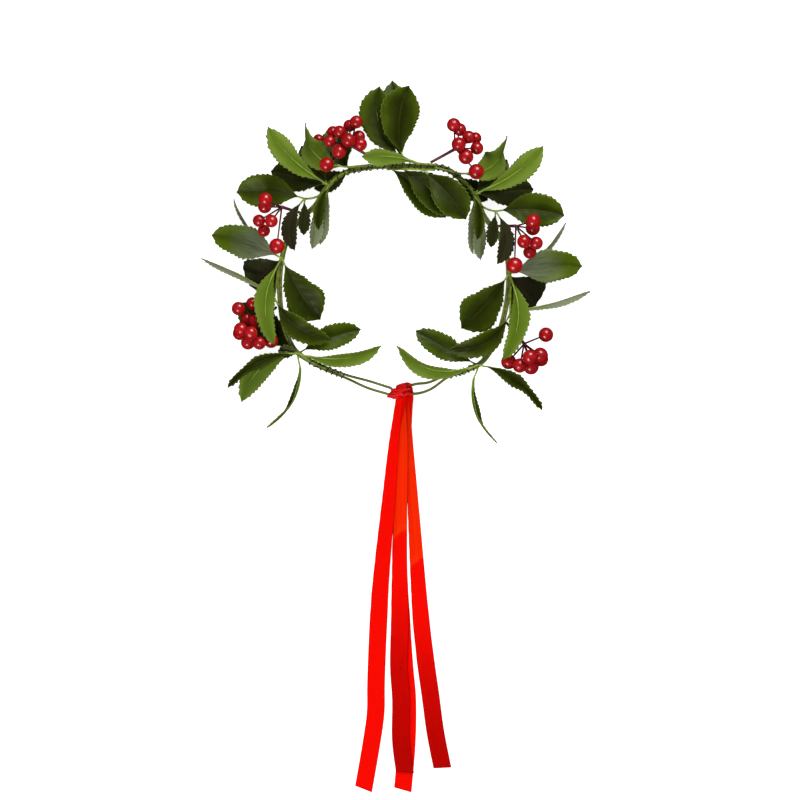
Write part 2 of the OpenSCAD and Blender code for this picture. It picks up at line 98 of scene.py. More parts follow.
# Leaf rows: sprig, place on the stem, heading, reach over leaf_l, bow over reach, width over leaf_w, layer of
# the foot, tip height over ring_h, arch over reach, roll, twist, fold, face shown (1 upper, -1 under),
# sides (0 both, -1 left, 1 right)
SIDE_LEAVES = [
    ("low", 0, 5, 1.21, -0.12, 0.8, 3.2, 1.4, -0.05, -58, 0, 12, -1, -1),
    ("low", 0, 4, 1.21, -0.19, 0.8, 3.4, 1.4, -0.05, -58, 0, 12, -1, 1),
    ("low", 0, 247, 1.14, 0.17, 0.66, 0, 0.9, 0.02, 78, -20, 14, 1, 0),
    ("low", 0, 206, 1.15, -0.12, 0.54, 2, 0.5, 0.12, -20, 30, 24, 1, 0),
    ("low", 0, 220.5, 1.09, -0.17, 0.68, -3, 0.03, 0, 10, 0, 10, -1, -1),
    ("low", 0, 172, 0.3, 0, 0.4, 1, 1.15, 0, 0, 0, 14, 1, -1),
    ("low", 0, 141, 1.15, 0, 0.95, -2, 0.03, 0, 0, 0, 10, 1, -1),
    ("low", 0, 21, 0.97, 0.05, 0.8, -1, 0.6, 0.03, 0, 0, 14, 1, -1),
    ("low", 0, 20, 1.03, -0.01, 0.8, -1.4, 0.6, 0.03, 0, 0, 14, 1, 1),
    ("mid_low", 0, 323, 1.02, -0.15, 0.74, 1, 1.1, 0.06, 10, 25, 16, 1, -1),
    ("mid_low", 0, 320, 1.02, -0.18, 0.74, 1, 1.1, 0.06, 10, 25, 16, 1, 1),
    ("mid_low", 0, 152.5, 1.18, -0.03, 0.45, 0, 0.06, 0.02, 68, 0, 14, -1, -1),
    ("mid_low", 0, 156, 1.18, 0.03, 0.45, 0, 0.06, 0.02, 68, 0, 14, -1, 1),
    ("mid", 0, 265, 1.25, -0.15, 0.74, 3, 1.7, 0.08, -20, 30, 18, -1, 0),
    ("mid", 0, 302, 1.05, -0.04, 0.97, 1, 0.85, 0, 0, 0, 12, 1, 0),
    ("mid", 0, 220, 0.61, 0, 1.15, -1, 0.02, 0, 0, 0, 10, 1, 0),
    ("mid", 0, 161.5, 1.08, -0.05, 1.08, 2, 0.6, 0.02, 0, 0, 12, 1, -1),
    ("mid", 0, 165, 1.08, -0.05, 1.08, 2, 0.6, 0.02, 0, 0, 12, 1, 1),
    ("mid", 0, 129, 1.12, 0.1, 0.4, -2, 0.1, 0, 75, 0, 12, -1, 0),
    ("high", 0, 174.5, 1, -0.06, 1.06, 1, 1, 0.03, 0, 0, 12, 1, 0),
    ("high", 0, 259, 0.77, -0.18, 0.5, 3, 1.35, 0, 15, 0, 14, 1, 0),
    ("high", 0, 268, 0.53, 0, 0.4, 2, 1.1, 0, -20, 0, 14, 1, 0),
    ("high", 0.7, 260, 0.8, 0, 0.45, -1, 0.4, 0, 30, 0, 14, -1, 0),
    ("upper", 0, 136.5, 1.22, 0.08, 0.66, 2, 2, 0.06, 20, -35, 18, -1, 0),
    ("upper", 0, 166, 0.87, 0, 0.9, -2.2, 0.02, 0, 0, 0, 12, 1, 0),
    ("upper", 0, 125, 0.7, 0, 0.8, -1, 0.6, 0, 0, 0, 12, 1, 0),
    ("upper", 0, 257, 0.67, -0.08, 0.37, 1, 1.15, 0, -20, 0, 14, 1, 0),
    ("upper", 0, 262, 0.87, 0, 0.55, -3, 0.5, 0, 65, 0, 14, -1, 0),
    ("crest", 0, 134.5, 0.9, 0.25, 0.84, 1, 1.35, -0.05, 0, -45, 16, -1, 0),
    ("crest", 0, 104, 0.68, 0.15, 1, -2.5, 0.02, 0, 0, 0, 12, 1, -1),
    ("crest", 0, 206, 0.6, 0, 0.62, -4.1, 0.5, 0, 0, 0, 12, 1, -1),
    ("crest", 0, 206, 0.6, 0, 0.62, -2.5, 0.5, 0, 0, 0, 12, 1, 1),
]
TOP_LEAVES = [
    ("top", 0, 108, 1.13, 0.16, 1.02, 1, 0.9, 0.03, 0, 0, 12, 1, 0),
    ("top", 0, 97, 1.26, 0.02, 0.9, -2.4, 0.02, 0, 0, 0, 12, 1, 0),
    ("top", 0, 86, 1.08, 0.1, 1.1, 2, 1.3, 0.05, 0, 0, 12, 1, 0),
    ("top", 0.5, 174, 0.84, -0.05, 0.46, 3, 1.7, 0.04, 25, 0, 14, -1, 0),
    ("inner", 0.75, 311, 0.96, 0.05, 1, 1, 1.4, 0.05, 0, 0, 12, 1, 0),
    ("inner", 0.24, 321, 1.13, 0.03, 1, -2.3, 0.8, 0.03, 0, 0, 12, 1, 0),
    ("inner", 0, 319, 1.14, 0.05, 0.9, -2.8, 0.3, 0, 0, 0, 12, 1, 0),
]

# Looks of each leaf above, in the same order: tone (below 0 with a painted pale sheen near the base, 0 fresh
# green,
# 1 dark brown on the upper face and pale grey green on the under face, this pale partly painted light),
# how far its tip is drawn out, and how far the tip curls over in degrees
SIDE_LOOKS = [
    (0.25, 0.1, 0), (0.25, 0.1, 0), (0.3, 0.2, 18), (0.55, 1, 0), (0.6, 0, 0), (0.8, 0, 0), (0.8, 0, 0),
    (0.25, 0.2, 0), (0.25, 0.2, 0), (0.6, 0.2, 0), (0.6, 0.2, 0), (0.95, 0.2, 0), (0.95, 0.2, 0),
    (0.5, 0.5, 0), (0.6, -0.6, 0), (0.95, -0.4, 0), (-0.35, 0.35, 0), (-0.35, 0.35, 0),
    (1, 0.2, 0), (0.4, 0.1, 0), (1, 0, 0), (0.9, 0, 0), (0.95, -0.2, 0), (0.2, -0.3, 0), (0.85, -0.2, 0),
    (0.8, 0, 0), (0.6, 0, 0), (1, 0, 0), (0.2, -0.1, -56), (0.7, 0, 0), (0.8, 0, 0), (0.8, 0, 0),
]
TOP_LOOKS = [
    (0.4, -0.2, 0), (0.5, 0, 0), (0.6, -0.2, 0), (0.4, -0.8, 0), (0.75, 0, 0), (0.7, 0, 0), (0.5, -0.2, 0),
]

# Clusters: name, angle where the stalk leaves the ring, 1 where it leaves from the binding wire,
# then angle, radius over ring_r and height over ring_h of its fork. The last three are for the cluster on
# the right: how far it is moved before it is mirrored, over ring_r, and its berries' size over the left's
CLUSTERS = [
    ("upper", 98, 1, 108, 1.2, 0.85, 0.03, 0.018, 1.05),
    ("mid", 147, 0, 149.5, 1.15, 1.4, 0.006, -0.028, 1.06),
    ("low", 197, 0, 200, 1.28, 0.5, -0.024, -0.039, 1.08),
]
# Berry rows: cluster, angle and radius over ring_r, height over ring_h, size over berry_d, sides
BERRIES = [
    ("upper", 103.4, 1.384, 1.77, 0.95, 0),
    ("upper", 106.2, 1.37, 1.2, 0.9, 0),
    ("upper", 110.5, 1.345, 1.63, 0.9, 0),
    ("upper", 112.9, 1.37, 1.24, 0.83, 0),
    ("upper", 119, 1.365, 0.95, 0.78, -1),
    ("upper", 115.5, 1.3, 1.55, 0.9, 0),
    ("upper", 108.4, 1.243, 2.07, 1, 0),
    ("upper", 103.7, 1.253, 1.42, 0.9, -1),
    ("upper", 103.9, 1.18, 1.79, 0.96, -1),
    ("upper", 113.7, 1.18, 1.88, 1.04, 0),
    ("upper", 121.4, 1.128, 1.85, 1.08, 0),
    ("mid", 150.3, 1.31, 2.05, 1, 0),
    ("mid", 152.9, 1.285, 1.6, 0.96, 0),
    ("mid", 159, 1.28, 1.75, 0.9, 0),
    ("mid", 157.2, 1.175, 1.97, 0.93, 0),
    ("mid", 162.2, 1.21, 1.46, 0.9, 0),
    ("mid", 167.4, 1.06, 1.78, 1.12, 0),
    ("low", 193.4, 1.42, 1.3, 0.98, 0),
    ("low", 192.7, 1.288, 1.04, 0.9, -1),
    ("low", 197.9, 1.375, 1.05, 0.83, -1),
    ("low", 199.9, 1.305, 1.4, 0.98, -1),
    ("low", 200.9, 1.455, 1.48, 1.04, 0),
    ("low", 201.9, 1.48, 0.87, 0.98, 0),
    ("low", 203.5, 1.385, 1.88, 1.02, 0),
    ("low", 206.1, 1.442, 1.18, 1.02, 0),
    ("low", 208.2, 1.353, 1.53, 0.97, 0),
    ("low", 209.7, 1.253, 1.17, 1.02, 0),
]

# Tail rows: distance down and to the right over tail_l, width over ribbon_w, height over ring_h,
# layer in the stack of tails. A tail that shows less than its width is tucked under along one edge
TAILS = {
    "left": [
        (0.022, 0.001, 0.42, 0.5, 3),
        (0.07, -0.005, 0.47, 0.2, 3),
        (0.15, -0.0145, 0.6, 0, 3),
        (0.29, -0.027, 0.78, 0, 3),
        (0.43, -0.041, 0.89, 0, 2),
        (0.57, -0.052, 1, 0, 0),
        (0.74, -0.059, 1, 0, 0),
        (0.82, -0.06, 1, 0, 0),
        (0.9, -0.071, 1, 0, 0),
        (1.016, -0.091, 1, 0, 0),
    ],
    "mid_front": [
        (0.022, 0.006, 0.42, 0.5, 2),
        (0.07, 0.008, 0.52, 0.2, 2),
        (0.15, 0.0086, 0.64, 0, 2),
        (0.29, 0.0045, 0.75, 0, 2),
        (0.43, 0.002, 0.85, 0, 1),
        (0.58, 0.0015, 1, 0, 1),
        (0.7, -0.001, 1, 0, 1),
        (0.79, 0.0045, 1, 0, 1),
        (0.89, 0.004, 1, 0, 1),
        (0.973, 0.0145, 1, 0, 1),
    ],
    "mid_back": [
        (0.022, 0.006, 0.42, 0.5, 1),
        (0.07, 0.008, 0.52, 0.2, 1),
        (0.15, 0.0086, 0.64, 0, 1),
        (0.29, 0.0045, 0.75, 0, 1),
        (0.43, 0.0015, 0.85, 0, 0),
        (0.58, 0.0055, 1, 0, 0),
        (0.7, 0.013, 1, 0, 0),
        (0.79, 0.0206, 1, 0, 0),
        (0.9, 0.019, 1, 0, 0),
        (1.018, 0.009, 1, 0, 0),
    ],
    "right": [
        (0.022, 0.018, 0.38, 0.5, 0),
        (0.07, 0.0205, 0.47, 0.2, 0),
        (0.15, 0.025, 0.56, 0, 0),
        (0.29, 0.036, 0.64, 0, 0),
        (0.43, 0.045, 0.8, 0, 0),
        (0.57, 0.055, 0.95, 0, 0),
        (0.68, 0.066, 1, 0, 0),
        (0.78, 0.08, 1, 0, 0),
        (0.87, 0.092, 1, 0, 0),
        (0.962, 0.11, 1, 0, 0),
    ],
}
# The knot: angle, radius over ring_r, height over ring_h
KNOT = (273.5, 1.067, 0.62)
knot_tilt = radians(4)
# How much longer each tail is along its right edge, where it is cut at a slant
TAIL_CUTS = {"left": 3.2 * MM, "mid_front": 4 * MM, "mid_back": 3 * MM, "right": 2.4 * MM}
SIDES = ("left", "right")
UP = Vector((0, 0, 1))


# Vectors and curves
def polar(angle, radius, z=0.0):
    return Vector((radius * cos(radians(angle)), radius * sin(radians(angle)), z))


def mix(a, b, t):
    return a + (b - a) * t


def clamp(x):
    return max(0.0, min(1.0, x))


def ease(x):
    x = clamp(x)
    return x * x * (3 - 2 * x)


def spline(a, b, c, d, t):
    return 0.5 * (2 * b + (c - a) * t + (2 * a - 5 * b + 4 * c - d) * t * t + (3 * b - a - 3 * c + d) * t**3)


def smooth(points, steps, closed=False):
    """A smooth line through the points, with steps pieces between neighbours."""
    n = len(points)
    if closed:
        return [
            spline(points[i - 1], points[i], points[(i + 1) % n], points[(i + 2) % n], k / steps)
            for i in range(n)
            for k in range(steps)
        ]
    line = [
        spline(points[max(i - 1, 0)], points[i], points[i + 1], points[min(i + 2, n - 1)], k / steps)
        for i in range(n - 1)
        for k in range(steps)
    ]
    return line + [points[-1]]


def lookup(rows, x):
    """The value at x in rows of rising (x, value) pairs."""
    if x <= rows[0][0]:
        return rows[0][1]
    for (x0, y0), (x1, y1) in zip(rows, rows[1:]):
        if x <= x1:
            return mix(y0, y1, (x - x0) / (x1 - x0))
    return rows[-1][1]


def smooth_lookup(rows, x):
    """As lookup, but along a smooth curve through the rows."""
    last_row = len(rows) - 1
    for i in range(last_row):
        if x <= rows[i + 1][0] or i == last_row - 1:
            t = clamp((x - rows[i][0]) / (rows[i + 1][0] - rows[i][0]))
            ends = [rows[j][1] for j in (max(i - 1, 0), i, i + 1, min(i + 2, last_row))]
            return spline(*ends, t)


def left_of(v):
    return UP.cross(v).normalized()


def heading_at(points, i):
    return (points[min(i + 1, len(points) - 1)] - points[max(i - 1, 0)]).normalized()


def turned_right(p):
    """The right garland's place for a point of the left one."""
    x, y = -p.x, p.y
    return Vector(
        (
            x * cos(right_turn) + y * sin(right_turn) + right_shift[0] * ring_r,
            y * cos(right_turn) - x * sin(right_turn) + right_shift[1] * ring_r,
            p.z,
        )
    )


def on_side(side, p):
    return turned_right(p) if side == "right" else p


# The ring's centreline, from the left eye over the top to the right eye
def ring_row(row):
    return polar(row[0], row[1] * ring_r, row[3] * ring_h), row[2] * wire_d


def ring_points():
    rows = [ring_row(r) for r in LEFT_RING]
    rows += [ring_row(r) for r in TOP_RING]
    rows += [(turned_right(p), half) for p, half in reversed(rows[eye_rows : len(LEFT_RING)])]
    rows += [ring_row(r) for r in RIGHT_EYE]
    return [Vector((p[0], p[1], p[2], half)) for p, half in rows]


RING_STEPS = 6
ring_line = smooth(ring_points(), RING_STEPS)
ring_mid = [p.to_3d() for p in ring_line]
ring_half = [p[3] for p in ring_line]
ring_heading = [heading_at(ring_mid, i) for i in range(len(ring_mid))]
ring_out = [-left_of(d) for d in ring_heading]


def turn_of(p):
    """The angle of a place on the ring, from -84 at the right eye to 268.5 at the left eye."""
    a = atan2(p.y, p.x) * 180 / pi
    return a + 360 if p.x < 0 and p.y < 0 else a


RING_PLACES = sorted((turn_of(p), i) for i, p in enumerate(ring_mid))


def along_ring(values, angle):
    i = lookup(RING_PLACES, angle)
    low = int(floor(i))
    return mix(values[low], values[min(low + 1, len(values) - 1)], i - low)


def bundle_r(angle):
    return along_ring(ring_mid, angle).to_2d().length


def bundle_z(angle):
    return along_ring(ring_mid, angle).z


# Mesh building
def new_bmesh():
    bm = bmesh.new()
    bm.loops.layers.uv.new("map")
    bm.verts.layers.float.new("tint")
    return bm


def grid(bm, along, across, place, tint=0.0, material=0):
    """A grid whose corner (i, k) is moved to place(i, k); its UV map holds (i, k) as shares."""
    first = len(bm.faces)
    made = bmesh.ops.create_grid(bm, x_segments=along, y_segments=across, size=1)["verts"]
    tints, uv = bm.verts.layers.float["tint"], bm.loops.layers.uv["map"]
    share = {}
    for n, vert in enumerate(made):
        i, k = n % (along + 1), n // (along + 1)
        vert.co = place(i, k)
        vert[tints] = tint
        share[vert] = (i / along, k / across)
    bm.faces.ensure_lookup_table()
    faces = bm.faces[first:]
    for face in faces:
        face.material_index = material
        face.smooth = True
        for loop in face.loops:
            loop[uv].uv = share[loop.vert]
    return made, faces


def tube(bm, points, radius, sides=10, closed=False, tint=0.0, material=0):
    """A round tube along points; radius is a number or a function of the share along it."""
    n = len(points)
    size = radius if callable(radius) else (lambda share: radius)
    if closed:
        headings = [(points[(i + 1) % n] - points[i - 1]).normalized() for i in range(n)]
    else:
        headings = [heading_at(points, i) for i in range(n)]
    side = headings[0].cross(UP if abs(headings[0].z) < 0.9 else Vector((1, 0, 0))).normalized()
    frames = []
    for d in headings:
        side = (side - d * side.dot(d)).normalized()
        frames.append((side, d.cross(side)))
    rows = n if closed else n - 1

    def place(i, k):
        a = 2 * pi * k / sides
        s, u = frames[i % n]
        return points[i % n] + (s * cos(a) + u * sin(a)) * size(i / rows)

    verts, faces = grid(bm, rows, sides, place, tint, material)
    bmesh.ops.remove_doubles(bm, verts=verts, dist=1e-7)
    if not closed:
        rims = [e for e in {e for f in faces if f.is_valid for e in f.edges} if e.is_boundary]
        bmesh.ops.holes_fill(bm, edges=rims, sides=sides)


def thicken(bm, faces, thickness):
    """Gives a sheet its wall straight along its normals, so that its tight folds make no spikes."""
    bm.normal_update()
    inward = {v.co.to_tuple(7): v.normal * thickness for v in {v for f in faces for v in f.verts}}
    made = bmesh.ops.extrude_face_region(bm, geom=faces, use_keep_orig=True)["geom"]
    for vert in made:
        if isinstance(vert, bmesh.types.BMVert):
            vert.co -= inward[vert.co.to_tuple(7)]
    for face in bm.faces:
        face.smooth = True


def finished(name, bm, materials, node):
    """Turns a bmesh into the piece that replaces a node of the part."""
    bmesh.ops.recalc_face_normals(bm, faces=bm.faces)
    mesh = bpy.data.meshes.new(name)
    bm.to_mesh(mesh)
    bm.free()
    for material in materials:
        mesh.materials.append(material)
    piece = bpy.data.objects.new(name, mesh)
    bpy.context.collection.objects.link(piece)
    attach(piece, "root")
    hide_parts(node)
    return piece


# Materials
class Wire:
    """A socket of a finish; arithmetic on it adds Math nodes."""

    def __init__(self, finish, socket):
        self.finish, self.socket = finish, socket

    def __add__(self, other):
        return self.finish.math("ADD", self, other)

    def __sub__(self, other):
        return self.finish.math("SUBTRACT", self, other)

    def __rsub__(self, other):
        return self.finish.math("SUBTRACT", other, self)

    def __mul__(self, other):
        return self.finish.math("MULTIPLY", self, other)

    def __abs__(self):
        return self.finish.math("ABSOLUTE", self)

    __radd__, __rmul__ = __add__, __mul__


class Finish:
    """A material under construction round one Principled shader."""

    def __init__(self, name, **settings):
        self.material = bpy.data.materials.new(name)
        self.material.use_nodes = True
        self.tree = self.material.node_tree
        self.shader = self.tree.nodes["Principled BSDF"]
        self.set(self.shader, settings)

    def set(self, node, values):
        for key, value in values.items():
            name = key.replace("_", " ")
            socket = next(s for s in node.inputs if s.enabled and s.name.lower() == name.lower())
            self.feed(socket, value)

    def feed(self, socket, value):
        if isinstance(value, Wire):
            self.tree.links.new(value.socket, socket)
        elif isinstance(value, (tuple, list)) and len(value) == 3 and socket.type == "RGBA":
            socket.default_value = (*value, 1)
        else:
            socket.default_value = value

    def node(self, kind, settings=None, out=0, **values):
        made = self.tree.nodes.new(kind)
        for key, value in (settings or {}).items():
            if key == "stops":
                self.stops(made.color_ramp, value)
            else:
                setattr(made, key, value)
        self.set(made, values)
        return Wire(self, [s for s in made.outputs if s.enabled][out])

    def stops(self, ramp, rows):
        while len(ramp.elements) > 1:
            ramp.elements.remove(ramp.elements[-1])
        for n, (place, colour) in enumerate(rows):
            element = ramp.elements[0] if n == 0 else ramp.elements.new(place)
            element.position = place
            element.color = (*colour, 1) if isinstance(colour, tuple) else (colour, colour, colour, 1)

    def math(self, operation, *values):
        made = self.tree.nodes.new("ShaderNodeMath")
        made.operation = operation
        for socket, value in zip(made.inputs, values):
            self.feed(socket, value)
        return Wire(self, made.outputs[0])

    def curve(self, value, rows):
        return self.node("ShaderNodeValToRGB", {"stops": rows}, fac=value)

    def blend(self, factor, a, b):
        return self.node("ShaderNodeMix", {"data_type": "RGBA"}, factor=factor, a=a, b=b)

    def map(self):
        """The piece's own UV map, as two numbers: along it and across it."""
        uv = self.node("ShaderNodeUVMap", {"uv_map": "map"})
        split = self.tree.nodes.new("ShaderNodeSeparateXYZ")
        self.feed(split.inputs[0], uv)
        return Wire(self, split.outputs[0]), Wire(self, split.outputs[1])

    def tint(self):
        return self.node("ShaderNodeAttribute", {"attribute_name": "tint"}, out=2)

    def place(self):
        return self.node("ShaderNodeTexCoord", out=3)

    def noise(self, scale, detail, vector=None):
        return self.node("ShaderNodeTexNoise", vector=vector or self.place(), scale=scale, detail=detail)

    def vector(self, x, y, z=0.0):
        return self.node("ShaderNodeCombineXYZ", x=x, y=y, z=z)

    def bump(self, height, depth):
        return self.node("ShaderNodeBump", height=height, distance=depth, strength=1.0)

    def finish(self, **values):
        self.set(self.shader, values)
        return self.material


VEINS = 7
vein_slant = 1.7


def leaf_face(name, core, body, edge, rim, high_tone_colour, painted_sheen_colour, roughness, coat, shine, vein_show, vein_depth):
    """One face of a leaf: darker along the middle, with slanting veins and a pale cut rim."""
    f = Finish(name, specular_ior_level=shine, specular_tint=(0.8, 1, 0.45), coat_roughness=0.24)
    along, across = f.map()
    side = abs(across * 2 - 1)
    tone = f.tint()
    cloud = f.noise(55, 4)
    speck = f.noise(900, 2)
    streak = f.noise(1.0, 3, vector=f.vector(along * 3, across * 16, tone * 9))
    off_middle = side * 0.8 + (cloud - 0.5) * 0.9 + (0.5 - tone) * 0.7
    colour = f.blend(f.curve(off_middle, [(0.0, 1.0), (0.45, 0.5), (0.95, 0.0)]), body, core)
    fresh = f.curve(side * 0.7 + along * 0.3 + (cloud - 0.5) * 0.6 - tone * 0.35, [(0.4, 0.0), (0.95, 0.85)])
    colour = f.blend(fresh, colour, edge)
    # high tone: a darker browner upper face; on the under face a pale grey green that partly stands in for
    # soft light on edge-on leaves, painted light
    high_tone = f.curve(tone + (cloud - 0.5) * 0.3, [(0.75, 0.0), (0.95, 0.9)])
    colour = f.blend(high_tone, colour, high_tone_colour)
    # painted sheen: a pale streaky gloss painted near the base of leaves whose tone is below 0
    painted_sheen = f.curve(0 - tone, [(0.0, 0.0), (0.3, 1.0)]) * f.curve(along, [(0.2, 1.0), (0.75, 0.0)])
    painted_sheen = painted_sheen * f.curve(streak, [(0.3, 0.25), (0.7, 1.0)])
    colour = f.blend(painted_sheen, colour, painted_sheen_colour)
    slant = along * VEINS - side * vein_slant
    vein = abs(f.math("FRACT", slant + 10) * 2 - 1)
    vein = f.curve(vein, [(0.0, 0.0), (0.8, 0.0), (1.0, 1.0)])
    vein = vein * f.curve(side, [(0.0, 1.0), (0.75, 0.35), (0.95, 0.0)])
    midrib = f.curve(side, [(0.0, 1.0), (0.04, 0.6), (0.08, 0.0)])
    lines = f.math("MAXIMUM", vein * 0.35, midrib)
    colour = f.blend(lines * vein_show, colour, edge)
    colour = f.blend(f.curve(side, [(0.965, 0.0), (0.99, 0.6)]), colour, rim)
    height = lines * -0.6 + speck * 0.12 + cloud * 0.3
    return f.finish(
        base_color=colour,
        roughness=roughness + (cloud - 0.5) * 0.18 + tone * 0.05,
        coat_weight=f.curve(streak, [(0.35, 0.3), (0.7, 1.0)]) * coat,
        normal=f.bump(height, vein_depth),
    )


def leaf_top():
    return leaf_face(
        "leaf_upper_face",
        core=(0.014, 0.017, 0.0005),
        body=(0.042, 0.066, 0.0005),
        edge=(0.08, 0.125, 0.003),
        rim=(0.24, 0.34, 0.08),
        high_tone_colour=(0.026, 0.022, 0.01),
        painted_sheen_colour=(0.2, 0.22, 0.16),
        roughness=0.38,
        coat=0.11,
        shine=0.18,
        vein_show=0.16,
        vein_depth=0.4 * MM,
    )


def leaf_under():
    return leaf_face(
        "leaf_under_face",
        core=(0.08, 0.135, 0.006),
        body=(0.125, 0.195, 0.013),
        edge=(0.19, 0.27, 0.045),
        rim=(0.24, 0.34, 0.1),
        # pale grey green of dark-toned under faces, partly painted light
        high_tone_colour=(0.27, 0.3, 0.18),
        painted_sheen_colour=(0.3, 0.35, 0.2),
        roughness=0.62,
        coat=0.02,
        shine=0.22,
        vein_show=0.3,
        vein_depth=0.25 * MM,
    )


def moulded(name, colour, dark, roughness, coat=0.1, grain=0.1):
    """Moulded plastic of a stem or a stalk, mottled along its length."""
    f = Finish(name, coat_roughness=0.2)
    cloud = f.noise(140, 3)
    fine = f.noise(1600, 2)
    colour = f.blend(f.curve(cloud, [(0.35, 0.0), (0.65, 1.0)]), dark, colour)
    return f.finish(
        base_color=colour,
        roughness=roughness + (cloud - 0.5) * 0.2,
        coat_weight=coat,
        normal=f.bump(fine * 0.5 + cloud, grain * MM),
    )


def covered_wire():
    """Wire wound with green paper tape, whose turns show as fine slanting ridges."""
    f = Finish("green_wire_tape", specular_ior_level=0.25)
    along, around = f.map()
    turns = f.math("FRACT", along * 420 + around)
    ridge = f.curve(turns, [(0.0, 0.0), (0.12, 1.0), (0.8, 0.7), (1.0, 0.0)])
    cloud = f.noise(220, 4)
    colour = f.blend(f.curve(cloud, [(0.3, 0.0), (0.7, 1.0)]), (0.1, 0.125, 0.02), (0.21, 0.25, 0.05))
    colour = f.blend(f.curve(turns, [(0.0, 0.8), (0.15, 0.0)]), colour, (0.02, 0.03, 0.008))
    height = ridge + cloud * 0.4
    return f.finish(base_color=colour, roughness=0.6 + cloud * 0.2, normal=f.bump(height, 0.15 * MM))


def berry_skin():
    """Glossy red lacquer over a slightly uneven berry, darker round its stalk."""
    f = Finish("berry_lacquer", coat_roughness=0.06, specular_ior_level=0.5)
    along = f.map()[0]
    cloud = f.noise(160, 3)
    tint = f.tint()
    ripe = f.curve(cloud + (tint - 0.5) * 0.6, [(0.3, 0.0), (0.7, 1.0)])
    red = f.blend(ripe, (0.34, 0.0004, 0.003), (0.5, 0.0012, 0.006))
    shade = f.curve(along, [(0.0, 1.0), (0.06, 0.75), (0.16, 0.0)])
    colour = f.blend(shade, red, (0.05, 0.004, 0.004))
    blossom = f.curve(along, [(0.965, 0.0), (0.985, 1.0)])
    colour = f.blend(blossom, colour, (0.04, 0.012, 0.006))
    return f.finish(
        base_color=colour, roughness=0.28 + cloud * 0.1, coat_weight=0.9, normal=f.bump(cloud, 0.12 * MM)
    )


satin_red = (0.98, 0.002, 0.0)
satin_deep = (0.42, 0.0, 0.0)


def satin(name, shaded=((0.0, 0.0), (1.0, 0.0)), lit=None, mark=None):
    """Woven red satin: shaded says how dark the painted shade is along it, lit where a painted highlight
    catches the light, mark where a small dark speck is painted."""
    f = Finish(name, specular_ior_level=0.25, specular_tint=(1, 0.1, 0.04))
    along, across = f.map()
    tint = f.tint()
    cloud = f.noise(1.0, 3, vector=f.vector(across * 1.6 + tint * 37, along * 14))
    streak = f.noise(1.0, 2, vector=f.vector(across * 7 + tint * 11, along * 2))
    weft = f.noise(1.0, 2, vector=f.vector(across * 30, along * 900))
    warp = f.math("SINE", across * 520)
    edge = f.curve(abs(across * 2 - 1), [(0.93, 0.0), (0.985, 1.0)])
    shade = f.curve(along + (cloud - 0.5) * 0.12, shaded)
    colour = f.blend(shade + (streak - 0.5) * 0.12, satin_red, satin_deep)
    if lit:
        start, end = lit
        slant = along - across * 0.035 + (cloud - 0.5) * 0.015
        stops = [(start, 0.0), (start + 0.07, 0.8), (end - 0.03, 0.7), (end - 0.008, 1.0), (end, 0.0)]
        glow = f.curve(slant, stops)
        colour = f.blend(glow * f.curve(streak, [(0.35, 0.55), (0.6, 1.0)]), colour, (1.0, 0.035, 0.001))
    # a small dark speck painted at mark
    if mark:
        across_it, along_it = (across - mark[1]) * 16, (along - mark[0]) * 350
        dark_speck = f.curve(across_it * across_it + along_it * along_it, [(0.1, 0.75), (0.9, 0.0)])
        colour = f.blend(dark_speck, colour, (0.06, 0.0, 0.0))
    # painted shade darkens the colour towards both edges; the edge mask's roughness and bump are the real
    # selvage
    colour = f.blend(edge * 0.45, colour, satin_deep)
    return f.finish(
        base_color=colour,
        roughness=0.42 + weft * 0.16 + edge * 0.2,
        normal=f.bump(warp * 0.5 + weft + edge * 1.5, 0.06 * MM),
    )


def gathered_satin():
    """The same satin pulled into a knot: painted shade in its creases, with painted pale highlights on its
    folds.
    """
    f = Finish("red_satin_gathered", specular_ior_level=0.5, specular_tint=(1, 0.5, 0.45))
    along, across = f.map()
    tint = f.tint()
    folds = f.noise(1.0, 2, vector=f.vector(along * 3 + tint * 23, across * 5))
    crush = f.noise(420, 3)
    height = folds + (crush - 0.5) * 0.3
    # painted shade darkens the creases, where the fold height is low
    colour = f.blend(f.curve(height, [(0.34, 0.85), (0.46, 0.0)]), (0.88, 0.003, 0.004), (0.2, 0.0, 0.002))
    # painted pale pink highlights on the high folds
    colour = f.blend(f.curve(height, [(0.6, 0.0), (0.7, 0.7)]), colour, (0.95, 0.16, 0.15))
    return f.finish(base_color=colour, roughness=0.4 + crush * 0.15, normal=f.bump(height, 0.8 * MM))


FINISHES = {
    "upper": leaf_top(),
    "under": leaf_under(),
    "rib": moulded("leaf_rib", (0.32, 0.46, 0.05), (0.17, 0.27, 0.02), 0.5),
    "stem": moulded("sprig_stem_green", (0.3, 0.42, 0.02), (0.12, 0.18, 0.006), 0.42),
    "wire": covered_wire(),
    "binding": moulded(
        "binding_wire_dark", (0.02, 0.03, 0.008), (0.007, 0.01, 0.003), 0.6, coat=0.03, grain=0.05
    ),
    "stalk": moulded("berry_stalk_red", (0.16, 0.012, 0.03), (0.05, 0.006, 0.014), 0.45, coat=0.2),
    "berry": berry_skin(),
    "left": satin("red_satin_left"),
    "mid_front": satin(
        "red_satin_front", shaded=((0.5, 0.0), (0.7, 0.6), (0.95, 0.9)), lit=(0.0, 0.36), mark=(0.725, 0.42)
    ),
    "mid_back": satin("red_satin_back"),
    "right": satin(
        "red_satin_right", shaded=((0.6, 0.0), (0.78, 0.6), (0.97, 0.9)), lit=(0.0, 0.44), mark=(0.72, 0.05)
    ),
    "knot": gathered_satin(),
}


# Wire ring
def eye_turn(i, sign):
    """The wire's route round an eye at one end of the ring."""
    middle, out, ahead = ring_mid[i], ring_out[i], ring_heading[i]
    r = ring_half[i] * sign
    return [middle + r * (cos(radians(a)) * ahead + sin(radians(a)) * out) for a in (-60, -30, 0, 30, 60)]


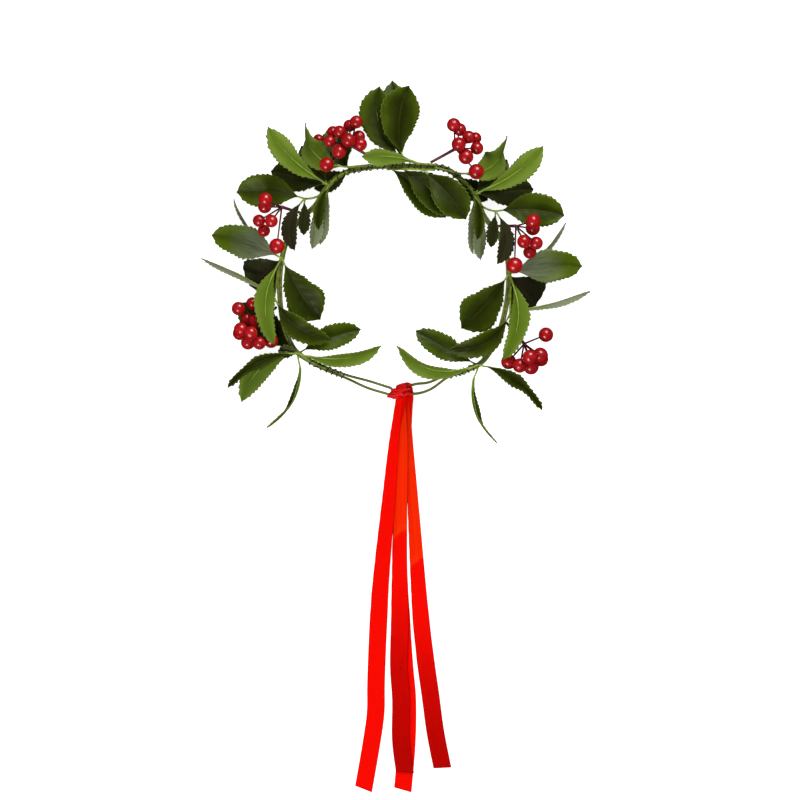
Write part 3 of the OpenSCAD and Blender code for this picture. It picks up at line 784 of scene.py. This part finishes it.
def make_wire():
    last = len(ring_mid) - 1
    route = [ring_mid[i] - ring_out[i] * ring_half[i] for i in range(last + 1)]
    route += eye_turn(last, 1)
    route += [ring_mid[i] + ring_out[i] * ring_half[i] for i in range(last, -1, -1)]
    route += eye_turn(0, -1)
    bm = new_bmesh()
    tube(bm, smooth(route, 2, closed=True), wire_d / 2, sides=12, closed=True)
    finished("covered_frame_wire", bm, [FINISHES["wire"]], "frame_wire")


BINDING_STEPS = 40
binding_clear = 0.15 * MM
binding_wander = 1.3


def arch_over(angle):
    """How far the binding rises at an angle to take in the stems that lie on it."""
    cover = 0
    for sprig in SIDE_SPRIGS + TOP_SPRIGS:
        if sprig[5]:
            low, high = sorted((sprig[1], sprig[3]))
            cover = max(cover, ease((angle - low + 2) / 3) * ease((high - 3 - angle) / 3))
    return cover * (stem_d + 2 * gap + binding_d)


def round_strands(share, half, arch):
    """One turn round both strands, as a sideways and an upward distance: over, round each and under."""
    r = wire_d / 2 + binding_clear + binding_d / 2
    if share < 0.4:
        a = radians(90 - 450 * share)
        return half + r * cos(a), r * sin(a)
    if share < 0.5:
        return half * (9 - 20 * share), -r
    if share < 0.9:
        a = radians(-90 - 450 * (share - 0.5))
        return r * cos(a) - half, r * sin(a)
    across = (share - 0.9) / 0.1
    return half * (2 * across - 1), r + arch * sin(pi * across) ** 0.6


def make_binding(name, side, start, end, turns):
    """Thin wire wound loosely round the two strands and the stems that lie on them."""
    route = []
    for n in range(turns * BINDING_STEPS + 1):
        loose = noise.noise(Vector((n * 0.11, turns, 0.5)))
        angle = mix(start, end, n / (turns * BINDING_STEPS)) + loose * binding_wander
        share = n % BINDING_STEPS / BINDING_STEPS
        across, up = round_strands(share, along_ring(ring_half, angle), arch_over(angle))
        outward = along_ring(ring_out, angle) * across * (1 + 0.1 * loose)
        route.append(on_side(side, along_ring(ring_mid, angle) + outward + UP * up))
    bm = new_bmesh()
    tube(bm, route, binding_d / 2, sides=8)
    finished("binding_coil_" + name, bm, [FINISHES["binding"]], "binding_" + name)


# Sprigs
binding_over = gap + binding_d


def stem_point(sprig, t):
    bound_at, bound_off, free_at, free_off, on_binding = sprig[1:]
    angle = mix(bound_at, free_at, t)
    offset = mix(bound_off, free_off, t * t) * ring_r
    rise = wire_d / 2 + on_binding * (binding_over + gap) + gap + stem_d / 2
    return polar(angle, bundle_r(angle) + offset, bundle_z(angle) + rise)


STEM_PIECES = 16


def make_stem(node, sprig, side):
    points = [on_side(side, stem_point(sprig, n / STEM_PIECES)) for n in range(STEM_PIECES + 1)]
    bm = new_bmesh()

    def swell(share):
        return stem_d / 2 * (0.86 + 0.14 * cos(share * 5 * pi) ** 2)

    tube(bm, points, swell, sides=10)
    finished("sprig_" + node, bm, [FINISHES["stem"]], node)


# Leaves
LEAF_OUTLINE = [
    (0, 0.03), (0.12, 0.06), (0.23, 0.37), (0.36, 0.76), (0.52, 0.98),
    (0.68, 1), (0.81, 0.84), (0.92, 0.5), (1, 0.03),
]
TOOTH_ROWS = 5
LEAF_ACROSS = 12
RIB_ROWS = 24
RIGHT_LEAF_SEED = 40
blade_t = 0.45 * MM
tooth_depth = 2 * MM
crease = 0.3 * MM
fold_r = 0.8 * MM
quilt_h = 0.3 * MM
slump_h = 0.9 * MM
floor_clear = 0.1 * MM
blade_start = 0.1
rib_end = 0.7


def leaf_foot(row, sprig):
    """Beside the stem's end, over it, or under the wires below it."""
    layer = row[6]
    on_stem = stem_point(sprig, 1 - row[1])
    room = 0.08 * row[5] * leaf_w / 2 * abs(sin(radians(row[9]))) + leaf_t / 2
    if layer == 0:
        return on_stem + polar(row[2], (stem_d + leaf_t) / 2 + gap)
    if layer > 0:
        return on_stem + UP * (stem_d / 2 + gap + room + (layer - 1) * (leaf_t + gap))
    angle = turn_of(on_stem)
    under = wire_d / 2 + gap + room - (layer + 1) * (leaf_t + gap)
    return polar(angle, bundle_r(angle), bundle_z(angle) - under)


class Blade:
    """The bent and folded surface of one leaf, as a function of its length and width."""

    def __init__(self, row, foot, seed, drawn, curl):
        self.foot = foot
        self.drawn, self.curl = drawn, radians(curl)
        self.reach = row[3] * leaf_l
        self.ahead, self.aside = polar(row[2], 1), polar(row[2] + 90, 1)
        self.bow, self.arch = row[4] * self.reach, row[8] * self.reach
        self.rise = row[7] * ring_h - foot.z
        self.half = row[5] * leaf_w / 2
        self.roll = radians(row[9] + (180 if row[12] < 0 else 0))
        self.twist = radians(row[10])
        self.fold = radians(row[11])
        self.seed = seed
        self.teeth = max(6, round(15 * row[3]))

    def spine(self, u):
        hump = 4 * u * (1 - u)
        level = self.ahead * self.reach * u + self.aside * self.bow * hump
        return self.foot + level + UP * (self.rise * u + self.arch * hump)

    def axes(self, u):
        """The directions across the blade and out of its upper face."""
        slope = 4 * (1 - 2 * u)
        t = self.ahead * self.reach + self.aside * self.bow * slope + UP * (self.rise + self.arch * slope)
        t.normalize()
        s0 = left_of(t)
        n0 = t.cross(s0)
        roll = self.roll + self.twist * (u - 0.5) + self.curl * ease((u - 0.55) / 0.25)
        c, s = cos(roll), sin(roll)
        return s0 * c + n0 * s, n0 * c - s0 * s

    def width(self, u, v):
        drawn_out = 1 - 0.5 * self.drawn * sin(pi * clamp((u - 0.5) / 0.5))
        body = smooth_lookup(LEAF_OUTLINE, u) * self.half * drawn_out
        phase = u * self.teeth + (0.4 if v < 0 else 0)
        tooth = phase % 1 - 0.5
        uneven = 0.8 + 0.7 * noise.noise(Vector((floor(phase) * 3.1, self.seed, v)))
        show = ease((u - 0.2) / 0.1) * ease((1.02 - u) / 0.1)
        return max(body + tooth * tooth_depth * uneven * show * ease((abs(v) - 0.72) / 0.28), 0.05 * MM)

    def point(self, u, v):
        s, n = self.axes(u)
        w = self.width(u, v) * v
        lift = sqrt(w * w + fold_r**2) - fold_r
        vein = (u * VEINS - abs(v) * vein_slant) % 1
        quilt = quilt_h * sin(pi * vein) ** 2 * (1 - abs(v)) * min(1, abs(v) * 4) * ease((u - 0.2) / 0.15)
        wave = 0.06 * self.half * v * v * sin(2 * pi * (1.6 * u + self.seed * 0.37)) * ease((u - 0.2) / 0.2)
        groove = -crease * exp(-((v * 9) ** 2)) * ease((u - 0.1) / 0.1)
        slump = noise.noise(Vector((u * 2.2, v * 0.8, self.seed * 5.3))) * slump_h * ease((u - 0.25) / 0.3)
        height = lift * sin(self.fold) + quilt + wave + groove + slump
        p = self.spine(u) + s * w * cos(self.fold) + n * height
        return Vector((p.x, p.y, max(p.z, blade_t + floor_clear)))


def add_leaf(bm, row, look, sprig, side, seed):
    tone, drawn, curl = look
    blade = Blade(row, leaf_foot(row, sprig), seed, drawn, curl)
    rows = blade.teeth * TOOTH_ROWS
    tint = tone + 0.1 * noise.noise(Vector((seed * 1.7, 0.3, 0.9)))

    def place(i, k, sunk=0.0):
        u = mix(blade_start, 1, i / rows)
        v = 2 * k / LEAF_ACROSS - 1
        v = v * (0.75 + 0.25 * abs(v))
        return on_side(side, blade.point(u, v) - blade.axes(u)[1] * sunk)

    upper = grid(bm, rows, LEAF_ACROSS, place, tint)[1]
    under = grid(bm, rows, LEAF_ACROSS, lambda i, k: place(i, k, blade_t), tint, 1)[1]
    rims = [e for e in {e for f in upper + under for e in f.edges} if e.is_boundary]
    for face in bmesh.ops.bridge_loops(bm, edges=rims)["faces"]:
        face.material_index = 1
    points = []
    for n in range(RIB_ROWS + 1):
        share = n / RIB_ROWS
        u = rib_end * share
        sunk = (blade_t + crease + rib_size(share) * 0.7) * ease((u - 0.06) / 0.1)
        points.append(on_side(side, blade.spine(u) - blade.axes(u)[1] * sunk))
    tube(bm, points, rib_size, sides=8, tint=tint, material=2)


def rib_size(share):
    """Radius of a leaf's stalk and rib, at a share of its length."""
    return 0.85 * MM * mix(1, 0.25, share) * (1 if share < 0.98 else 0.4)


def shown_on(side, flag):
    return flag == 0 or (flag < 0 and side == "left") or (flag > 0 and side == "right")


def make_leaves(node, leaves, looks, sprig, side):
    bm = new_bmesh()
    for n, (row, look) in enumerate(zip(leaves, looks)):
        if row[0] == sprig[0] and shown_on(side, row[13]):
            add_leaf(bm, row, look, sprig, side, n + RIGHT_LEAF_SEED * (side == "right"))
    materials = [FINISHES["upper"], FINISHES["under"], FINISHES["rib"]]
    finished("toothed_" + node, bm, materials, node)


# Berries
BERRY_AROUND = 32
BERRY_ALONG = 22
RIGHT_BERRY_SEED = 30
stalk_seat = 0.3 * MM


def moved(cluster, side):
    return Vector((cluster[6], cluster[7], 0)) * ring_r if side == "right" else Vector()


def berry_at(row, cluster, side):
    return polar(row[1], row[2] * ring_r, row[3] * ring_h) + moved(cluster, side)


def berry_size(row, cluster, side):
    return row[4] * berry_d * (cluster[8] if side == "right" else 1)


def fork_at(cluster, side):
    return polar(cluster[3], cluster[4] * ring_r, cluster[5] * ring_h) + moved(cluster, side)


def branch(cluster, row, side):
    """The route of one berry's stalk from the fork, and the place where it meets the berry."""
    fork = fork_at(cluster, side)
    p = berry_at(row, cluster, side)
    sag = berry_d / 4
    under = mix(fork, p, 0.5) - UP * sag
    away = (p - under).normalized()
    end = p - away * (berry_size(row, cluster, side) / 2 - stalk_seat)
    return [fork, mix(fork, under, 0.5) - UP * sag / 3, under, end], away


def make_berry_stem(cluster, side):
    name = side + "_" + cluster[0]
    angle, on_binding = cluster[1:3]
    beside = along_ring(ring_half, angle) + wire_d / 2 + on_binding * (binding_over + gap) + gap + root_d / 2
    foot = polar(angle, bundle_r(angle) + beside, bundle_z(angle))
    fork = fork_at(cluster, side)
    bm = new_bmesh()
    root = smooth([foot, mix(foot, fork, 0.5) - UP * root_d, fork], 8)
    tube(bm, [on_side(side, p) for p in root], lambda share: root_d / 2 * mix(0.9, 1.15, share**3), sides=10)
    for row in BERRIES:
        if row[0] == cluster[0] and shown_on(side, row[5]):
            route = [on_side(side, p) for p in smooth(branch(cluster, row, side)[0], 6)]
            tube(bm, route, lambda share: stalk_d / 2 * mix(1.05, 0.8, share), sides=8)
    finished("forked_stalk_" + name, bm, [FINISHES["stalk"]], "berry_stem_" + name)


def add_berry(bm, row, cluster, side, seed):
    """A round berry with a dimple at its stalk and a blossom end across from it."""
    away = branch(cluster, row, side)[1]
    centre = berry_at(row, cluster, side)
    r = berry_size(row, cluster, side) / 2
    s = left_of(away) if abs(away.z) < 0.95 else Vector((1, 0, 0))
    s = (s - away * s.dot(away)).normalized()
    u = away.cross(s)
    tall = 1.04 if seed % 6 == 0 else 1.0

    def place(i, k):
        polar_angle = pi * i / BERRY_ALONG
        turn = 2 * pi * k / BERRY_AROUND
        dent = 0.09 * exp(-((polar_angle / 0.28) ** 2)) + 0.035 * exp(-(((pi - polar_angle) / 0.14) ** 2))
        uneven = 0.012 * noise.noise(Vector((cos(turn) * 1.3, sin(turn) * 1.3, polar_angle + seed * 2.1)))
        size = r * (1 - dent + uneven)
        ring = sin(polar_angle) * size
        p = centre - away * cos(polar_angle) * size * tall + (s * cos(turn) + u * sin(turn)) * ring
        return on_side(side, p)

    tint = 0.5 + 0.5 * noise.noise(Vector((seed * 2.3, 4.1, 0.7)))
    verts = grid(bm, BERRY_ALONG, BERRY_AROUND, place, tint)[0]
    bmesh.ops.remove_doubles(bm, verts=verts, dist=1e-7)


def make_berries(cluster, side):
    name = side + "_" + cluster[0]
    bm = new_bmesh()
    for n, row in enumerate(BERRIES):
        if row[0] == cluster[0] and shown_on(side, row[5]):
            add_berry(bm, row, cluster, side, n + RIGHT_BERRY_SEED * (side == "right"))
    finished("glossy_berries_" + name, bm, [FINISHES["berry"]], "berries_" + name)


# Ribbon
knot_at = polar(KNOT[0], KNOT[1] * ring_r, KNOT[2] * ring_h)
cloth_t = 0.3 * MM
TAIL_STEPS = 4
TAIL_ALONG = 220
TAIL_ACROSS = 24
face_rise = 0.95 * MM
tuck_r = 0.35 * MM
tuck_drop = 0.25 * MM
ripple_h = 0.16 * MM
billow_h = 0.22 * MM
cloth_clear = 0.05 * MM


def make_tail(name, rows):
    """One ribbon tail: flat where it lies, tucked under along one edge and rippled near the knot."""
    down, right, width, height, layer = rows[0]
    in_knot = (down / 5, right * 0.9, width * 0.95, height + 0.05, layer)
    rows = [in_knot] + rows
    line = smooth([Vector((q[1] * tail_l, -q[0] * tail_l, 0)) for q in rows], TAIL_STEPS)
    widths, lifts, layers = ([(float(i), q[c]) for i, q in enumerate(rows)] for c in (2, 3, 4))
    seed = list(TAILS).index(name)
    lengths = [0.0]
    for a, b in zip(line, line[1:]):
        lengths.append(lengths[-1] + (b - a).length)
    whole = lengths[-1]

    def place(i, k):
        across = k / TAIL_ACROSS
        far = i / TAIL_ALONG * (whole + TAIL_CUTS[name] * (0.5 - across))
        n = next((m for m in range(1, len(lengths)) if lengths[m] >= far), len(lengths) - 1)
        t = (far - lengths[n - 1]) / (lengths[n] - lengths[n - 1])
        c = mix(line[n - 1], line[n], t)
        d = (line[n] - line[n - 1]).normalized()
        place_in_rows = (n - 1 + t) / TAIL_STEPS
        shown = lookup(widths, place_in_rows) * ribbon_w
        lift = max(smooth_lookup(lifts, place_in_rows), 0) * ring_h
        floor_z = lift + lookup(layers, place_in_rows) * (ribbon_t + gap)
        over = across * ribbon_w - shown
        tucked = clamp((ribbon_w - shown) / MM)
        bend = sqrt(over * over + tuck_r * tuck_r)
        x = shown / 2 - mix(abs(over), bend - tuck_r, tucked)
        under = tuck_drop * (1 + over / bend) * tucked
        free = 1 - shown / ribbon_w
        ripple = ripple_h * (0.2 + free) * sin(2 * pi * (1.6 * across + 0.3 * seed + 1.1 * far / whole))
        billow = billow_h * noise.noise(Vector((far * 22, across * 1.5, seed * 3.7)))
        z = floor_z + face_rise - cloth_t - under + (ripple + billow) * 0.8
        z = max(z, floor_z + cloth_t + cloth_clear)
        return knot_at.xy.to_3d() + c + Vector((d.y, -d.x, 0)) * x + UP * z

    bm = new_bmesh()
    faces = grid(bm, TAIL_ALONG, TAIL_ACROSS, place, seed * 0.3)[1]
    thicken(bm, faces, cloth_t)
    piece = finished("ribbon_tail_" + name, bm, [FINISHES[name]], "tail_" + name)


# The knot's outline seen from above, along the wires: place, middle and half width, all in shares of knot_l
LEFT_LOOP = [
    (-0.49, -0.21, 0.02),
    (-0.38, -0.16, 0.1),
    (-0.23, -0.11, 0.19),
    (-0.11, -0.12, 0.19),
    (0.02, -0.08, 0.17),
]
RIGHT_LOOP = [
    (-0.04, -0.05, 0.2),
    (0.03, -0.03, 0.26),
    (0.2, 0.0, 0.265),
    (0.37, 0.03, 0.25),
    (0.47, 0.0, 0.2),
    (0.53, -0.06, 0.1),
]
loop_rise = 0.15


def add_loop(bm, outline, tip, seed, pleats, crumple):
    """A loop of ribbon from the waist over to the tip and back below, gathered in pleats; gives its faces."""
    along, around = 56, 36
    rows = sorted((q[0], q[1:]) for q in outline)
    middles, halves = [(x, q[0]) for x, q in rows], [(x, q[1]) for x, q in rows]

    def place(i, k):
        turn = pi * i / along
        v = 2 * k / around - 1
        x = tip * sin(turn) ** 0.8
        near = 1 - sin(turn)
        fold = sin(pleats * pi * v + seed) * (0.5 + 0.5 * near) + 0.5 * sin(2.3 * pleats * v - 4 * x + seed)
        rough = noise.noise(Vector((x * 9, v * 2.1, seed + turn))) * crumple
        lift = (fold * 0.034 + rough) * (1 if turn < pi / 2 else -0.6)
        z = cos(turn) * loop_rise * (1 - 0.35 * v * v) + lift
        y = smooth_lookup(middles, x) + smooth_lookup(halves, x) * v * (1 + 0.06 * sin(5 * turn + seed))
        return knot_place(x + rough * 0.4, y + rough * 0.5, z)

    return grid(bm, along, around, place, seed * 0.13)[1]


def knot_place(x, y, z):
    x, y, z = x * knot_l, y * knot_l, z * knot_l
    c, s = cos(knot_tilt), sin(knot_tilt)
    return knot_at + Vector((x * c - y * s, x * s + y * c, z))


def add_wrap(bm):
    """The turn of ribbon that holds the two loops together at their waist, in lengthwise folds; gives its
    faces."""
    along, around = 20, 80

    def place(i, k):
        v = 2 * i / along - 1
        a = 2 * pi * k / around
        fold = 0.02 * sin(7 * v + 2 * a) + 0.03 * noise.noise(Vector((v * 1.5, cos(a) * 1.6, sin(a) * 1.6)))
        size = 1 - 0.12 * v * v + fold * 3
        lean = 0.05 * sin(a)
        return knot_place(v * 0.11 + lean + 0.02, 0.25 * cos(a) * size - 0.03, 0.175 * sin(a) * size)

    verts, faces = grid(bm, along, around, place, 0.7)
    bmesh.ops.remove_doubles(bm, verts=verts, dist=1e-7)
    return [face for face in faces if face.is_valid]


def make_knot():
    """The ribbon knotted round the two wire eyes: a fan on the left, a crumpled loop on the right and one
    wrap."""
    bm = new_bmesh()
    faces = add_loop(bm, LEFT_LOOP, LEFT_LOOP[0][0], seed=0.6, pleats=4, crumple=0.045)
    faces += add_loop(bm, RIGHT_LOOP, RIGHT_LOOP[-1][0], seed=2.2, pleats=3, crumple=0.11)
    faces += add_wrap(bm)
    thicken(bm, faces, cloth_t)
    finished("gathered_ribbon_knot", bm, [FINISHES["knot"]], "ribbon_knot")


# Stage. Light rows: name, place, size, power, whether it shows in reflections
LIGHTS = [
    ("upper_softbox", (0.35, 1.1, 0.95), 0.9, 15.5, True),
    ("lower_softbox", (-0.5, -1.05, 1.15), 0.8, 11, True),
    ("left_fill", (-1.7, 0.1, 1.0), 1.0, 6, False),
    ("right_fill", (1.7, -0.2, 1.0), 1.0, 6, False),
]
LIGHTS_AIM = Vector((0, -0.08, 0))
field = 720 * MM
field_centre = (7.2 * MM, -115.2 * MM)
camera_h = 12
sensor = 36


def make_floor():
    f = Finish("pale_floor", specular_ior_level=0.1)
    f.finish(base_color=(0.9, 0.9, 0.9), roughness=0.9, emission_color=(1, 1, 1), emission_strength=0.75)
    bm = bmesh.new()
    bmesh.ops.create_grid(bm, x_segments=1, y_segments=1, size=6)
    mesh = bpy.data.meshes.new("floor")
    bm.to_mesh(mesh)
    bm.free()
    mesh.materials.append(f.material)
    floor = bpy.data.objects.new("floor", mesh)
    bpy.context.collection.objects.link(floor)
    floor.visible_glossy = False
    floor.visible_diffuse = False


def make_light(name, place, size, power, mirrored):
    data = bpy.data.lights.new(name, "AREA")
    data.shape = "DISK"
    data.size = size
    data.energy = power
    light = bpy.data.objects.new(name, data)
    light.location = place
    light.rotation_euler = (Vector(place) - LIGHTS_AIM).to_track_quat("Z", "Y").to_euler()
    bpy.context.collection.objects.link(light)
    light.visible_glossy = mirrored


def make_camera():
    """Straight above, with the photo's field at the ring's height."""
    data = bpy.data.cameras.new("overhead")
    data.sensor_width = sensor
    data.lens = sensor * camera_h / field
    camera = bpy.data.objects.new("overhead", data)
    camera.location = (*field_centre, ring_h + camera_h)
    bpy.context.collection.objects.link(camera)
    bpy.context.scene.camera = camera


def make_light_and_air():
    for row in LIGHTS:
        make_light(*row)
    world = bpy.data.worlds.new("studio")
    bpy.context.scene.world = world
    world.use_nodes = True
    backdrop = world.node_tree.nodes["Background"]
    backdrop.inputs["Color"].default_value = (1, 1, 1, 1)
    backdrop.inputs["Strength"].default_value = 0.33
    world.cycles_visibility.glossy = False
    bpy.context.scene.view_settings.view_transform = "Standard"


make_camera()
make_floor()
make_light_and_air()
make_wire()
make_binding("left", "left", 226, 245, 7)
make_binding("right", "right", 222, 235, 6)
make_binding("top", "left", 43, 126, 26)
for side in SIDES:
    for sprig in SIDE_SPRIGS:
        make_stem("stem_" + side + "_" + sprig[0], sprig, side)
        make_leaves("leaves_" + side + "_" + sprig[0], SIDE_LEAVES, SIDE_LOOKS, sprig, side)
    for cluster in CLUSTERS:
        make_berry_stem(cluster, side)
        make_berries(cluster, side)
for sprig in TOP_SPRIGS:
    make_stem("stem_" + sprig[0], sprig, "left")
    make_leaves("leaves_" + sprig[0], TOP_LEAVES, TOP_LOOKS, sprig, "left")
make_knot()
for tail_name, tail_rows in TAILS.items():
    make_tail(tail_name, tail_rows)
